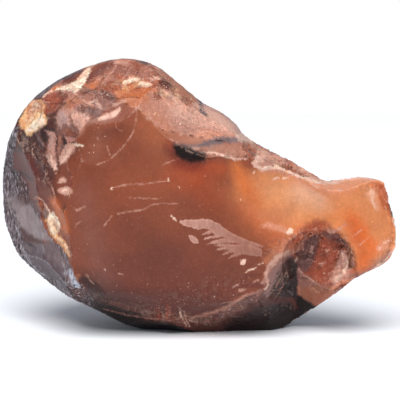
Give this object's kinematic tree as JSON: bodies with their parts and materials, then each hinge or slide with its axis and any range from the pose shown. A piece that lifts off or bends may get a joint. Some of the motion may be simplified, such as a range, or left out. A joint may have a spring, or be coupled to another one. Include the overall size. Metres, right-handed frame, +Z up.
{
  "type": "rough chalcedony",
  "caption": "Rough chalcedony: a pebble broken open, with a round dark rind, a broad shell-like fracture face and a thin scooped tongue.",
  "frame": {"origin": "on the ground, under the middle of the stone's box", "axes": "+X along the stone's length towards its thin tongue, +Z up, +Y away from the viewer of the broken face"},
  "size_m": [0.0728, 0.033, 0.0499],
  "materials": {
    "stone": "glassy to waxy broken chalcedony, red-brown and translucent at thin edges, with a dull dark grey rind"
  },
  "bodies": {
    "root": {"chalcedony": "stone"}
  },
  "joints": []
}
